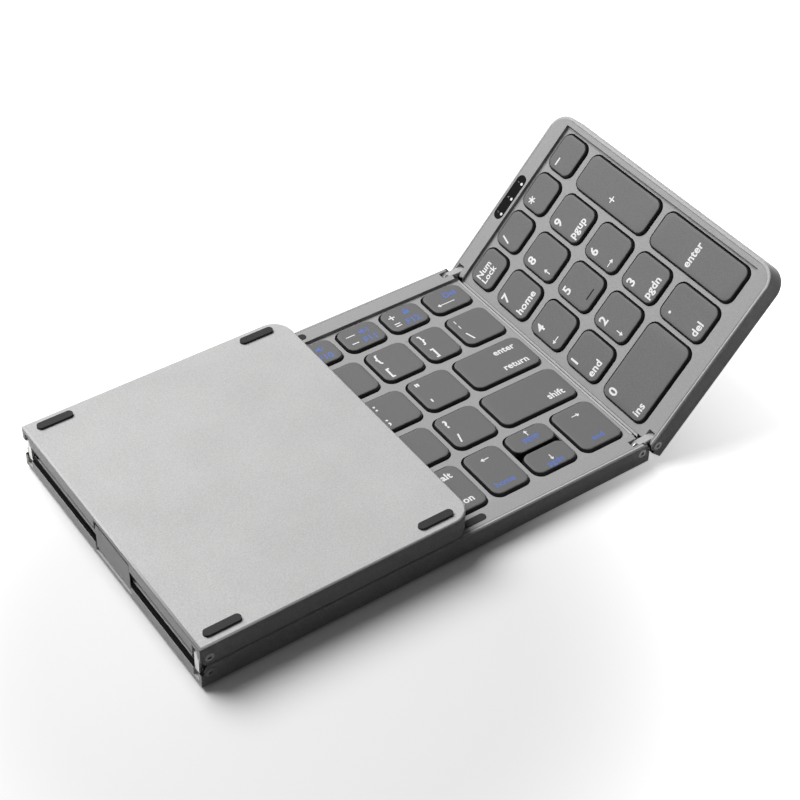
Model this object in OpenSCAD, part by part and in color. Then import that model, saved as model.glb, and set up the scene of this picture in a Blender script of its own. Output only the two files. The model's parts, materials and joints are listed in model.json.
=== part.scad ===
// Folding keyboard with a number pad: three flat panels joined by two double-pivot hinges.
// Each panel is built flat, with x = 0 at its left end, y = 0 at its front face and z = 0 at
// its rim, and is then moved to its place in the rest pose: the left panel folded over on the
// middle one, the number pad standing part way up.

/* [Panels] */
// Depth of all three panels, front face to back face
panel_d = 116.2; // [110:0.1:128]
// Thickness of a panel without its feet
panel_t = 8.85; // [8.6:0.05:11]
// Length of the middle panel
middle_w = 177.4; // [160:0.1:195]
// Width of the left panel
left_w = 101.9; // [92:0.1:112]
// Width of the number pad panel
pad_w = 75.0; // [68:0.1:82]
// Side wall of the tray-shaped base
wall = 1.1; // [0.9:0.05:1.3]
// Floor of the base
floor_t = 1.0; // [0.7:0.05:1.1]
// Wall across a hinge end of the base
end_wall = 2.0; // [1.8:0.1:2.2]
// Radius of the outer panels' far corners, seen from above
corner_r = 7.5; // [5:0.5:9]
// Bevel round the base's edges
bevel = 0.5; // [0.2:0.1:0.6]
// Round on the lower edge of a hinge end
heel_r = 0.8; // [0.5:0.1:2.4]

/* [Hinges] */
// Pin axis below the rim, and from the hinge end
pin_in = 3.3; // [3.1:0.05:3.5]
// How far a hinge end stands back above the pin axis
end_step = 1.0; // [0.9:0.05:1.2]
// Radius of the upper edge above that step
edge_r = 2.0; // [1.9:0.05:2.1]
// Gap between two rims when folded flat on each other
fold_gap = 0.4; // [0.3:0.05:0.8]
// Angle of the number pad at rest, up from flat
pad_tilt = 49.4; // [0:0.1:90]
// Radius of a hinge pin
pin_r = 1.2; // [0.9:0.05:1.3]
// Radius of a pin's head
pin_head_r = 1.65; // [1.4:0.05:1.8]
// Thickness of a pin's head
pin_head_t = 0.5; // [0.3:0.05:0.6]
// Length of a pin with its head
pin_len = 6.7; // [6:0.05:6.75]
// Radial clearance of a pin in its link
pin_play = 0.04; // [0.02:0.01:0.08]
// Radial clearance of a pin in its panel
pin_seat = 0.02; // [0.01:0.01:0.04]
// Thickness of a link plate
link_t = 2.6; // [2:0.1:2.7]
// Half height of a link plate
link_r = 2.85; // [2.4:0.05:2.95]
// Space left round the ends of a link plate in its slot
link_play = 0.25; // [0.2:0.05:0.35]
// Space left on each side of a link plate in its slot
link_side_play = 0.15; // [0.1:0.05:0.2]
// Side face of a panel to the slot of its link plate
slot_y = 1.8; // [1.6:0.05:1.9]
// Width of the flat cable that crosses a hinge
cable_w = 22; // [12:0.5:26]
// Thickness of the flat cable
cable_t = 0.3; // [0.2:0.05:0.4]
// How far the cable reaches past each pin axis
cable_reach = 1.5; // [1:0.1:2]
// Middle of the cable, from the front face
cable_y = 55; // [45:0.5:70]

/* [Frame] */
// Depth of the key web below the rim
web_z = 1.3; // [1.1:0.05:1.6]
// Thickness of the key web
web_t = 1.0; // [0.8:0.05:1.2]
// Gap line between the frame and the base
frame_gap = 0.12; // [0.08:0.01:0.2]
// Front strip, from the front keys to its inner edge
front_margin = 1.95; // [1.5:0.05:2]
// Back strip, from the back keys to its inner edge
back_margin = 1.95; // [1.2:0.05:2]
// Outer strip, from the last keys to its inner edge
side_margin = 1.95; // [1.2:0.05:2.2]

/* [Keys] */
// Front edge of the first row of key faces, from the front face
first_row_y = 9.35; // [9:0.05:10]
// Back edge of the last row of key faces, from the back face
last_row_y = 9.15; // [9:0.05:10]
// Gap between the key faces of two rows
row_gap = 4.2; // [3.4:0.1:4.4]
// Gap between two key faces in a row
key_gap = 3.05; // [2.8:0.05:3.2]
// Depth of a front row key face
front_key_d = 20.4; // [18:0.1:21]
// Depth of a back row key face
back_key_d = 11.6; // [10:0.1:12]
// Gap between the two half-height arrow keys
arrow_gap = 1.5; // [1.4:0.1:2]
// Depth of the lower half-height arrow key
arrow_down_d = 9.95; // [8.5:0.05:10.5]
// Radius of a key face's corners
key_r = 3.0; // [2:0.1:3.5]
// How much wider the skirt is than the face, on each side
key_flare = 0.45; // [0.3:0.05:0.5]
// Opening in the web beyond a key face, at its left and right
key_room_x = 0.75; // [0.7:0.05:0.9]
// Opening in the web beyond a key face, at its front and back
key_room_y = 1.0; // [0.8:0.05:1.1]
// Key face below the rim
key_z = 0.15; // [0.1:0.05:0.3]
// Height of a keycap
key_h = 3.25; // [2.8:0.05:3.4]
// Wall of a keycap
key_wall = 1.0; // [0.8:0.05:1.2]
// Travel of a key
key_travel = 1.5; // [1:0.1:1.6]
// First key face of the middle panel, from its left end
middle_x0 = 4.55; // [4.4:0.05:4.8]
// Last key face of the middle panel, from its right end
middle_x1 = 4.0; // [3.8:0.05:4.4]
// First key face of the left panel, from its outer edge
left_x0 = 5.15; // [5:0.05:5.4]
// Last key face of the left panel, from its hinge end
left_x1 = 4.55; // [4.4:0.05:4.8]
// First key face of the number pad, from its hinge end
pad_x0 = 5.1; // [4.9:0.05:5.3]
// Last key face of the number pad, from its outer edge
pad_x1 = 5.15; // [5:0.05:5.4]
// Gap between two number pad key faces in a row
pad_gap = 3.05; // [2.8:0.05:3.1]

/* [Inside] */
// Thickness of a key board
board_t = 0.8; // [0.6:0.1:1]
// Top of a key board, below the rim
board_z = 5.15; // [5:0.05:5.4]
// Radius of a rubber dome under a key
dome_r = 2.6; // [2:0.1:3]
// Battery length
battery_w = 62; // [40:1:70]
// Battery depth
battery_d = 46; // [30:1:60]
// Battery thickness
battery_t = 1.8; // [1:0.1:1.9]
// Radius of a case screw
screw_r = 0.75; // [0.6:0.05:0.9]
// Radius of a case screw's head
screw_head_r = 1.25; // [1.1:0.05:1.4]
// Thickness of a case screw's head
screw_head_t = 0.55; // [0.4:0.05:0.6]
// Radius of a screw boss
boss_r = 2.1; // [1.8:0.1:2.4]

/* [Feet and fittings] */
// Length of a rubber foot
foot_l = 13.2; // [8:0.1:16]
// Width of a rubber foot
foot_w = 2.95; // [2.9:0.05:4]
// How far a foot stands out
foot_h = 0.9; // [0.9:0.05:1.5]
// How deep a foot is set in
foot_sink = 0.3; // [0.2:0.05:0.4]
// Feet, from the front and back faces
foot_y = 4.2; // [4:0.1:5]
// Feet, from a hinge end
foot_hinge_x = 10.4; // [10.2:0.1:20]
// Feet, from an outer end
foot_outer_x = 12.6; // [12:0.1:18]
// Length of a rim bumper
bumper_l = 13.2; // [8:0.1:16]
// Width of a rim bumper
bumper_w = 2.9; // [2:0.05:3.5]
// How far a bumper stands out of the rim
bumper_h = 0.15; // [0.1:0.05:0.2]
// Middle of the rim bumpers, past the edge of the folded left panel
bumper_past = 1.3; // [0:0.1:3]
// Length of the indicator window
window_l = 19; // [12:0.5:24]
// Width of the indicator window
window_w = 4.4; // [3:0.1:5]
// Middle of the indicator window, from the hinge end of the number pad
window_x = 37.8; // [30:0.1:45]
// Middle of the indicator window, from the back face
window_from_back = 4.0; // [3.6:0.1:4.3]
// Thickness of the indicator window
window_t = 1.2; // [0.8:0.1:1.5]
// Width of the charging socket
port_w = 9.0; // [8:0.1:10]
// Height of the charging socket
port_h = 3.2; // [2.8:0.1:3.4]
// Length of the charging socket
port_l = 6.5; // [5:0.1:7]
// Middle of the charging socket, from the hinge end of the number pad
port_x = 37.8; // [25:0.1:45]

/* [Hidden] */
$fn = 48;
BIG = 400;
EPS = 0.01;

base_grey = [0.62, 0.63, 0.64];
frame_grey = [0.70, 0.70, 0.70];
key_grey = [0.42, 0.42, 0.43];
bright_steel = [0.86, 0.86, 0.87];
rubber_black = [0.16, 0.16, 0.16];

// Heights below the rim
floor_z = panel_t - floor_t;
frame_z = web_z + web_t;
key_base_z = key_z + key_h;
board_low_z = board_z + board_t;
dome_h = board_z - (key_z + key_wall) - key_travel - 0.2;

function sum_before(list, n, i = 0) = i >= n ? 0 : list[i] + sum_before(list, n, i + 1);

// Rows of key faces, front row first: front edge and depth. The three letter rows share what
// the front and back rows leave.
letter_rows = 3;
last_row = letter_rows + 1;
keys_d = panel_d - first_row_y - last_row_y;
key_d = (keys_d - front_key_d - back_key_d - last_row * row_gap) / letter_rows;
row_d = [front_key_d, key_d, key_d, key_d, back_key_d];
function row_y(r) = first_row_y + sum_before(row_d, r) + r * row_gap;
recess_y0 = first_row_y - front_margin;
recess_y1 = panel_d - last_row_y + back_margin;

// Widths of the key faces in each row, front row first, from the left, fitted to a span
function fitted(rows, span) = [
    for (row = rows)
        let (fit = (span - (len(row) - 1) * key_gap) / sum_before(row, len(row)))
            [for (width = row) width * fit]
];
middle_rows = fitted([
    [74.35, 16, 14.4, 14.5, 17.3, 17.05],
    [17.4, 16, 16, 16, 16, 17, 17.1, 32],
    [21.6, 16, 16, 16, 16, 16, 17.2, 28.7],
    [17.85, 16, 16, 16, 16, 16, 16.45, 13.15, 17],
    [16, 16, 16, 16, 16, 16, 16, 16, 16.45],
], middle_w - middle_x0 - middle_x1);
left_rows = fitted([
    [16, 16, 16, 35.05],
    [35.05, 16, 16, 16],
    [16, 16, 16, 16, 16],
    [12.6, 16, 16, 16, 19.4],
    [16, 16, 16, 16, 16],
], left_w - left_x0 - left_x1);
function key_x(rows, x0, r, i) = x0 + sum_before(rows[r], i) + i * key_gap;

// Key faces as [name, left edge, front edge, width, depth]
function face(rows, x0, r, i, name) = [name, key_x(rows, x0, r, i), row_y(r), rows[r][i], row_d[r]];
function middle_face(r, i, name) = face(middle_rows, middle_x0, r, i, name);
arrow_up_d = front_key_d - arrow_gap - arrow_down_d;
arrow_column = middle_face(0, 4, "arrows");
MIDDLE_KEYS = [
    middle_face(last_row, 6, "key_hyphen"),
    middle_face(last_row, 7, "key_equals"),
    middle_face(last_row, 8, "key_backspace"),
    middle_face(3, 6, "key_bracket_left"),
    middle_face(3, 7, "key_bracket_right"),
    middle_face(3, 8, "key_backslash"),
    middle_face(2, 6, "key_quote"),
    middle_face(2, 7, "key_enter"),
    middle_face(1, 6, "key_slash"),
    middle_face(1, 7, "key_shift"),
    middle_face(0, 3, "key_left"),
    ["key_down", arrow_column[1], arrow_column[2], arrow_column[3], arrow_down_d],
    ["key_up", arrow_column[1], arrow_column[2] + arrow_down_d + arrow_gap, arrow_column[3], arrow_up_d],
    middle_face(0, 5, "key_right"),
];
// How many keys at the left of each middle row the folded panel covers
covered = [3, 6, 6, 6, 6];
COVERED_KEYS = [for (r = [0:last_row]) for (i = [0:covered[r] - 1]) middle_face(r, i, "covered")];
LEFT_KEYS = [for (r = [0:last_row]) for (i = [0:len(left_rows[r]) - 1]) face(left_rows, left_x0, r, i, "left")];

pad_columns = 4;
pad_key_w = (pad_w - pad_x0 - pad_x1 - (pad_columns - 1) * pad_gap) / pad_columns;
pad_pitch = pad_key_w + pad_gap;
function pad_face(name, column, r, columns = 1, rows = 1) = [
    name,
    pad_x0 + column * pad_pitch,
    row_y(r),
    pad_key_w + (columns - 1) * pad_pitch,
    row_y(r + rows - 1) + row_d[r + rows - 1] - row_y(r),
];
PAD_KEYS = [
    pad_face("pad_num_lock", 0, last_row),
    pad_face("pad_divide", 1, last_row),
    pad_face("pad_multiply", 2, last_row),
    pad_face("pad_minus", 3, last_row),
    pad_face("pad_7", 0, 3),
    pad_face("pad_8", 1, 3),
    pad_face("pad_9", 2, 3),
    pad_face("pad_4", 0, 2),
    pad_face("pad_5", 1, 2),
    pad_face("pad_6", 2, 2),
    pad_face("pad_1", 0, 1),
    pad_face("pad_2", 1, 1),
    pad_face("pad_3", 2, 1),
    pad_face("pad_0", 0, 0, columns = 2),
    pad_face("pad_point", 2, 0),
    pad_face("pad_plus", 3, 2, rows = 2),
    pad_face("pad_enter", 3, 0, rows = 2),
];

// Hinges
pin_gap = 2 * pin_in + fold_gap;
slot_r = link_r + link_play;
slot_w = link_t + 2 * link_side_play;
hinge_block_x = pin_in + slot_r + 1.4;
hinge_block_y = pin_len + 0.5;
cable_in = pin_in - 0.4;
cable_slot_w = cable_w + 1;
lip_t = 0.8;
frame_end = end_wall + frame_gap;

// Places in the rest pose: the object's box is centred on x and y, with the table at z = 0
rim_z = foot_h + panel_t;
heel_x = (pad_w - pin_in - bevel) * cos(pad_tilt) + (panel_t - pin_in) * sin(pad_tilt);
toe_x = (pad_w - pin_in) * cos(pad_tilt) + (panel_t - pin_in - bevel) * sin(pad_tilt);
reach_x = middle_w - pin_in + pin_gap + max(heel_x, toe_x);
middle_x = -reach_x / 2;
front_y = -panel_d / 2;

// Where each panel stands in the rest pose
module at_middle() {
    translate([middle_x, front_y, rim_z]) children();
}

module at_left() {
    translate([middle_x + pin_in, front_y, rim_z - pin_in + pin_gap])
        rotate([0, 180, 0])
            translate([pin_in - left_w, 0, pin_in])
                children();
}

module at_pad() {
    translate([middle_x + middle_w - pin_in + pin_gap, front_y, rim_z - pin_in])
        rotate([0, -pad_tilt, 0])
            translate([-pin_in, 0, pin_in])
                children();
}

// Link frames: origin on the middle panel's pin, x towards the outer panel's pin
module at_left_link() {
    translate([middle_x + pin_in, front_y, rim_z - pin_in])
        rotate([0, -90, 0])
            children();
}

module at_right_link() {
    translate([middle_x + middle_w - pin_in, front_y, rim_z - pin_in]) children();
}

// Turns a shape that is drawn for a hinge at the left end so that it fits the right end
module at_right_end(w) {
    translate([w, 0, 0]) mirror([1, 0, 0]) children();
}

module at_back() {
    translate([0, panel_d, 0]) mirror([0, 1, 0]) children();
}

// A flat shape in x and z, carried along y
module along_y(y0, y1) {
    translate([0, y1, 0]) rotate([90, 0, 0]) linear_extrude(y1 - y0) children();
}

module slab(x0, x1, y0, y1, z0, z1) {
    translate([x0, y0, z0]) cube([x1 - x0, y1 - y0, z1 - z0]);
}

module stadium(l, w) {
    square([l - w, w], center = true);
    for (s = [-1, 1]) translate([s * (l - w) / 2, 0]) circle(d = w);
}

module rounded(x0, y0, w, d, r) {
    translate([x0 + r, y0]) square([w - 2 * r, d]);
    translate([x0, y0 + r]) square([w, d - 2 * r]);
    for (x = [x0 + r, x0 + w - r]) for (y = [y0 + r, y0 + d - r]) translate([x, y]) circle(r);
}

// The end of a panel at its hinge: above the pin axis it stands back and has a round edge, so
// that it clears the other panel's end in the fold, and below it the end is flat with a heel
module hinge_end_profile() {
    translate([end_step + edge_r, -edge_r]) circle(edge_r);
    translate([end_step, -pin_in]) square([pin_in - end_step, pin_in - edge_r]);
    translate([end_step + edge_r, -pin_in]) square([pin_in - end_step - edge_r + EPS, pin_in]);
    translate([heel_r, heel_r - panel_t]) circle(heel_r);
    translate([0, heel_r - panel_t]) square([pin_in, panel_t - heel_r - pin_in]);
    translate([heel_r, -panel_t]) square([pin_in - heel_r + EPS, heel_r + EPS]);
}

module bevelled_end_profile(w) {
    polygon([
        [w - bevel, -panel_t], [w, bevel - panel_t], [w, -bevel], [w - bevel, 0],
        [w / 2, 0], [w / 2, -panel_t],
    ]);
}

// Front and back edges, bevelled
module bevelled_sides(w) {
    rotate([90, 0, 90])
        linear_extrude(w)
            polygon([
                [bevel, 0], [0, -bevel], [0, bevel - panel_t], [bevel, -panel_t],
                [panel_d - bevel, -panel_t], [panel_d, bevel - panel_t],
                [panel_d, -bevel], [panel_d - bevel, 0],
            ]);
}

// A far corner's round, with the bevel carried round it
module corner_post() {
    translate([0, 0, -bevel]) cylinder(h = bevel, r1 = corner_r, r2 = corner_r - bevel);
    translate([0, 0, bevel - panel_t]) cylinder(h = panel_t - 2 * bevel, r = corner_r);
    translate([0, 0, -panel_t]) cylinder(h = bevel, r1 = corner_r - bevel, r2 = corner_r);
}

// Outer form of the middle panel, with a hinge at both ends
module middle_form() {
    intersection() {
        bevelled_sides(middle_w);
        along_y(0, panel_d) {
            hinge_end_profile();
            translate([middle_w, 0]) mirror([1, 0]) hinge_end_profile();
            translate([pin_in, -panel_t]) square([middle_w - 2 * pin_in, panel_t]);
        }
    }
}

// Outer form of an outer panel, with its hinge at the left and round corners at the right
module outer_form(w) {
    intersection() {
        bevelled_sides(w);
        along_y(0, panel_d) {
            hinge_end_profile();
            translate([pin_in, -panel_t]) square([w / 2 - pin_in, panel_t]);
            bevelled_end_profile(w);
        }
        union() {
            slab(0, w - corner_r, 0, panel_d, -panel_t, 0);
            slab(w - corner_r, w, corner_r, panel_d - corner_r, -panel_t, 0);
            for (y = [corner_r, panel_d - corner_r]) translate([w - corner_r, y, 0]) corner_post();
        }
    }
}

// Plan of the space inside the side walls; a hinge end stays open
module inside_plan(w, inset, hinge_both) {
    if (hinge_both) {
        translate([-1, inset]) square([w + 2, panel_d - 2 * inset]);
    } else {
        r = corner_r - inset;
        translate([-1, inset]) square([w - corner_r + 1, panel_d - 2 * inset]);
        translate([w / 2, corner_r]) square([w / 2 - inset, panel_d - 2 * corner_r]);
        for (y = [corner_r, panel_d - corner_r]) translate([w - corner_r, y]) circle(r);
    }
}

// Hollow of a link slot: round about the pin, open to the top and to the hinge end
module link_slot() {
    along_y(slot_y, slot_y + slot_w)
        translate([pin_in, -pin_in]) {
            circle(slot_r);
            translate([-BIG / 2, -slot_r]) square([BIG / 2, BIG]);
            translate([-BIG / 2, 0]) square([BIG / 2 + slot_r, BIG]);
        }
}

// Bore of a hinge pin with the seat of its head in the side face
module pin_bore() {
    translate([pin_in, 0, -pin_in])
        rotate([-90, 0, 0]) {
            translate([0, 0, -1]) cylinder(h = pin_len + pin_seat + 1, r = pin_r + pin_seat);
            translate([0, 0, -1]) cylinder(h = pin_head_t + 1.1, r = pin_head_r + pin_seat);
        }
}

// Way out of a hinge end for the flat cable, below the lip of its upper edge
module cable_slot() {
    y0 = cable_y - cable_slot_w / 2;
    slab(-1, end_wall + EPS, y0, y0 + cable_slot_w, -2 * pin_in, -web_z - lip_t);
}

// What a hinge takes away from any piece at a left end
module hinge_cuts() {
    link_slot();
    pin_bore();
    at_back() {
        link_slot();
        pin_bore();
    }
}

// Blocks that hold the hinge pins, at a left end
module hinge_blocks() {
    slab(0, hinge_block_x, 0, hinge_block_y, -panel_t, -web_z);
    at_back() slab(0, hinge_block_x, 0, hinge_block_y, -panel_t, -web_z);
}

// Feet and the case screws above them share these places
function foot_places(w, right_x) = [
    for (x = [foot_hinge_x, w - right_x]) for (y = [foot_y, panel_d - foot_y]) [x, y]
];

// Places of the base's ledges that carry the key board
ledge_y0 = recess_y0 - 0.3;
ledge_y1 = recess_y1 + 0.3;
ledge_w = 2;
board_y0 = ledge_y0 + 0.8;
board_y1 = ledge_y1 - 0.8;
seat_pad_z = floor_z - 1;

// Tray-shaped base of a panel
module base_tray(w, right_x, hinge_both) {
    difference() {
        if (hinge_both) middle_form(); else outer_form(w);
        // upper hollow for the frame
        translate([0, 0, -web_z]) linear_extrude(web_z + 1) inside_plan(w, wall, hinge_both);
        // lower hollow for the board, round the hinge blocks, ledges and screw pads
        difference() {
            intersection() {
                translate([0, 0, -floor_z]) linear_extrude(floor_z - web_z + EPS) inside_plan(w, wall, hinge_both);
                slab(end_wall, hinge_both ? w - end_wall : w, 0, panel_d, -panel_t, 1);
            }
            hinge_blocks();
            if (hinge_both) at_right_end(w) hinge_blocks();
            slab(hinge_block_x, w - hinge_block_x, ledge_y0, ledge_y0 + ledge_w, -panel_t, -board_low_z);
            slab(hinge_block_x, w - hinge_block_x, ledge_y1 - ledge_w, ledge_y1, -panel_t, -board_low_z);
            for (p = foot_places(w, right_x))
                translate([p[0], p[1], -panel_t]) cylinder(h = panel_t - seat_pad_z, r = boss_r);
        }
        hinge_cuts();
        cable_slot();
        if (hinge_both) at_right_end(w) {
            hinge_cuts();
            cable_slot();
        }
        for (p = foot_places(w, right_x)) translate([p[0], p[1], -panel_t]) {
            translate([0, 0, -1]) linear_extrude(1 + foot_sink) stadium(foot_l + 0.1, foot_w + 0.1);
            cylinder(h = foot_sink + screw_head_t, r = screw_head_r + 0.05);
            cylinder(h = panel_t, r = screw_r + 0.05);
        }
    }
}

// Openings of the web, one round each key face
module key_openings(keys) {
    for (k = keys)
        translate([0, 0, -panel_t])
            linear_extrude(panel_t + 1)
                rounded(k[1] - key_room_x, k[2] - key_room_y, k[3] + 2 * key_room_x, k[4] + 2 * key_room_y,
                    key_r + key_room_x);
}

// Frame of a panel: the rim strips and the lower web between the keys in one plate
module frame_plate(w, right_x, hinge_both, recess_x1, keys) {
    difference() {
        union() {
            intersection() {
                if (hinge_both) middle_form(); else outer_form(w);
                translate([0, 0, -frame_z])
                    linear_extrude(frame_z)
                        inside_plan(w, wall + frame_gap, hinge_both);
            }
            for (p = foot_places(w, right_x))
                translate([p[0], p[1], -seat_pad_z]) cylinder(h = seat_pad_z - web_z, r = boss_r);
        }
        // recess of the key field
        slab(-1, recess_x1, recess_y0, recess_y1, -web_z, 1);
        key_openings(keys);
        // room for the end walls and the hinge blocks
        slab(-1, frame_end, 0, panel_d, -panel_t, -web_z);
        slab(-1, hinge_block_x + frame_gap, 0, hinge_block_y + frame_gap, -panel_t, -web_z);
        at_back() slab(-1, hinge_block_x + frame_gap, 0, hinge_block_y + frame_gap, -panel_t, -web_z);
        hinge_cuts();
        slab(-1, frame_end, recess_y0 - 1, recess_y1 + 1, -panel_t, -web_z + EPS);
        if (hinge_both) at_right_end(w) {
            slab(-1, frame_end, 0, panel_d, -panel_t, -web_z);
            slab(-1, hinge_block_x + frame_gap, 0, hinge_block_y + frame_gap, -panel_t, -web_z);
            at_back() slab(-1, hinge_block_x + frame_gap, 0, hinge_block_y + frame_gap, -panel_t, -web_z);
            hinge_cuts();
        }
        for (p = foot_places(w, right_x))
            translate([p[0], p[1], -panel_t]) cylinder(h = panel_t - frame_z, r = screw_r + 0.05);
    }
}

// Key board: a plate on the base's ledges with a low rubber dome under each key
module key_board(w, hinge_both, keys) {
    x0 = end_wall + 0.4;
    x1 = hinge_both ? w - end_wall - 0.4 : w - wall - 0.4;
    cut_x = pin_in + cable_reach + 1;
    difference() {
        slab(x0, x1, board_y0, board_y1, -board_low_z, -board_z);
        slab(0, cut_x, cable_y - cable_slot_w / 2, cable_y + cable_slot_w / 2, -panel_t, 0);
        if (hinge_both)
            slab(w - cut_x, w, cable_y - cable_slot_w / 2, cable_y + cable_slot_w / 2, -panel_t, 0);
    }
    for (k = keys)
        translate([k[1] + k[3] / 2, k[2] + k[4] / 2, -board_z])
            cylinder(h = dome_h, r1 = dome_r, r2 = dome_r * 0.6);
}

// Keycap: a hollow cap with a flared skirt and rounded corners
module keycap(k) {
    skirt_w = k[3] + 2 * key_flare;
    skirt_d = k[4] + 2 * key_flare;
    edge = 0.25;
    shoulder = 1.25;
    translate([k[1] + k[3] / 2, k[2] + k[4] / 2, -key_z])
        difference() {
            intersection() {
                translate([0, 0, -key_h])
                    linear_extrude(key_h)
                        rounded(-skirt_w / 2, -skirt_d / 2, skirt_w, skirt_d, key_r);
                translate([0, skirt_d / 2, 0])
                    rotate([90, 0, 0])
                        linear_extrude(skirt_d)
                            polygon(cap_profile(k[3], skirt_w, edge, shoulder));
                translate([-skirt_w / 2, 0, 0])
                    rotate([90, 0, 90])
                        linear_extrude(skirt_w)
                            polygon(cap_profile(k[4], skirt_d, edge, shoulder));
            }
            translate([0, 0, -key_h - 1])
                linear_extrude(key_h + 1 - key_wall)
                    square([k[3] - 2 * key_wall, k[4] - 2 * key_wall], center = true);
        }
}

function cap_profile(w, skirt, edge, shoulder) = [
    [-skirt / 2, -key_h], [skirt / 2, -key_h], [skirt / 2, -shoulder], [w / 2, -edge],
    [w / 2 - edge, 0], [edge - w / 2, 0], [-w / 2, -edge], [-skirt / 2, -shoulder],
];

// Rubber feet of a panel, set into its underside
module panel_feet(w, right_x) {
    for (p = foot_places(w, right_x))
        translate([p[0], p[1], -panel_t - foot_h])
            linear_extrude(foot_h + foot_sink)
                stadium(foot_l, foot_w);
}

// Case screws under the feet, which hold the base to the frame
module panel_screws(w, right_x) {
    for (p = foot_places(w, right_x))
        translate([p[0], p[1], -panel_t + foot_sink]) {
            cylinder(h = screw_head_t, r = screw_head_r);
            cylinder(h = panel_t - foot_sink - frame_z - 0.2, r = screw_r);
        }
}

// Hinge pins at a left end: a shaft and a flat ring-shaped head in the side face
module end_pins() {
    hinge_pin();
    at_back() hinge_pin();
}

module hinge_pin() {
    translate([pin_in, 0, -pin_in])
        rotate([-90, 0, 0])
            difference() {
                union() {
                    cylinder(h = pin_head_t, r = pin_head_r);
                    cylinder(h = pin_len, r = pin_r);
                }
                translate([0, 0, -1]) cylinder(h = 1.3, r = 0.7);
            }
}

// Two link plates with a bore at each end
module link_plates() {
    link_y = slot_y + link_side_play;
    for (y = [link_y, panel_d - link_y - link_t])
        along_y(y, y + link_t)
            difference() {
                union() {
                    circle(link_r);
                    translate([pin_gap, 0]) circle(link_r);
                    translate([0, -link_r]) square([pin_gap, 2 * link_r]);
                }
                circle(pin_r + pin_play);
                translate([pin_gap, 0]) circle(pin_r + pin_play);
            }
}

// Flat cable on the outer side of a hinge
module flat_cable() {
    slab(-cable_reach, pin_gap + cable_reach, cable_y - cable_w / 2, cable_y + cable_w / 2,
        -cable_in - cable_t / 2, -cable_in + cable_t / 2);
}

module middle_base() {
    color(base_grey) at_middle() base_tray(middle_w, foot_hinge_x, true);
}

module middle_frame() {
    all_keys = concat(COVERED_KEYS, MIDDLE_KEYS);
    color(frame_grey) at_middle()
        difference() {
            frame_plate(middle_w, foot_hinge_x, true, middle_w + 1, concat(all_keys, [arrow_column]));
            bumper_form(0.05);
        }
}

module middle_board() {
    color("darkgreen") at_middle() key_board(middle_w, true, concat(COVERED_KEYS, MIDDLE_KEYS));
}

module middle_feet() {
    color(rubber_black) at_middle() panel_feet(middle_w, foot_hinge_x);
}

module middle_screws() {
    color(bright_steel) at_middle() panel_screws(middle_w, foot_hinge_x);
}

module middle_pins() {
    color(bright_steel) at_middle() {
        end_pins();
        at_right_end(middle_w) end_pins();
    }
}

// Rubber bumpers in the front and back strips, where the two outer panels meet when folded
bumper_sink = 0.6;
module bumper_form(grow) {
    for (y = [foot_y, panel_d - foot_y])
        translate([left_w + bumper_past, y, -bumper_sink - grow])
            linear_extrude(bumper_sink + bumper_h + grow)
                stadium(bumper_l + 2 * grow, bumper_w + 2 * grow);
}

module rim_bumpers() {
    color(rubber_black) at_middle() bumper_form(0);
}

module battery() {
    color("silver") at_middle()
        translate([middle_w / 2 - battery_w / 2, panel_d / 2 - battery_d / 2, -floor_z])
            cube([battery_w, battery_d, battery_t]);
}

module covered_keys() {
    color(key_grey) at_middle() for (k = COVERED_KEYS) keycap(k);
}

module middle_key(k) {
    color(key_grey) at_middle() keycap(k);
}

// The left panel has its hinge at its right end, so the outer form is turned round
module left_base() {
    color(base_grey) at_left() at_right_end(left_w) base_tray(left_w, foot_outer_x, false);
}

module left_frame() {
    turned = [for (k = LEFT_KEYS) [k[0], left_w - k[1] - k[3], k[2], k[3], k[4]]];
    color(frame_grey) at_left() at_right_end(left_w)
        frame_plate(left_w, foot_outer_x, false, left_w - left_x0 + side_margin, turned);
}

module left_board() {
    turned = [for (k = LEFT_KEYS) [k[0], left_w - k[1] - k[3], k[2], k[3], k[4]]];
    color("darkgreen") at_left() at_right_end(left_w) key_board(left_w, false, turned);
}

module left_feet() {
    color(rubber_black) at_left() at_right_end(left_w) panel_feet(left_w, foot_outer_x);
}

module left_screws() {
    color(bright_steel) at_left() at_right_end(left_w) panel_screws(left_w, foot_outer_x);
}

module left_pins() {
    color(bright_steel) at_left() at_right_end(left_w) end_pins();
}

module left_keys() {
    color(key_grey) at_left() for (k = LEFT_KEYS) keycap(k);
}

// Number pad
pad_keys_x1 = pad_x0 + 3 * pad_pitch + pad_key_w;
window_y = panel_d - window_from_back;
window_seat = 0.05;
module window_form(grow) {
    translate([window_x, window_y, -window_t - grow])
        linear_extrude(window_t + grow)
            stadium(window_l + 2 * grow, window_w + 2 * grow);
}

// The socket lies in the back wall, between the frame and the floor
port_z = (frame_z + floor_z) / 2;
module port_form(grow, l) {
    translate([port_x, panel_d - l, -port_z])
        rotate([-90, 0, 0])
            linear_extrude(l)
                stadium(port_w + 2 * grow, port_h + 2 * grow);
}

module pad_base() {
    color(base_grey) at_pad()
        difference() {
            union() {
                base_tray(pad_w, foot_outer_x, false);
                // cradle under the charging socket
                slab(port_x - port_w / 2, port_x + port_w / 2, panel_d - port_l, panel_d - wall / 2,
                    -floor_z - EPS, -port_z);
            }
            translate([0, 1, 0]) port_form(0.05, port_l + 2);
        }
}

module pad_frame() {
    color(frame_grey) at_pad()
        difference() {
            frame_plate(pad_w, foot_outer_x, false, pad_keys_x1 + side_margin, PAD_KEYS);
            translate([0, 0, 1]) window_form(window_seat);
            window_form(window_seat);
        }
}

module pad_board() {
    color("darkgreen") at_pad() key_board(pad_w, false, PAD_KEYS);
}

module pad_feet() {
    color(rubber_black) at_pad() panel_feet(pad_w, foot_outer_x);
}

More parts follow.
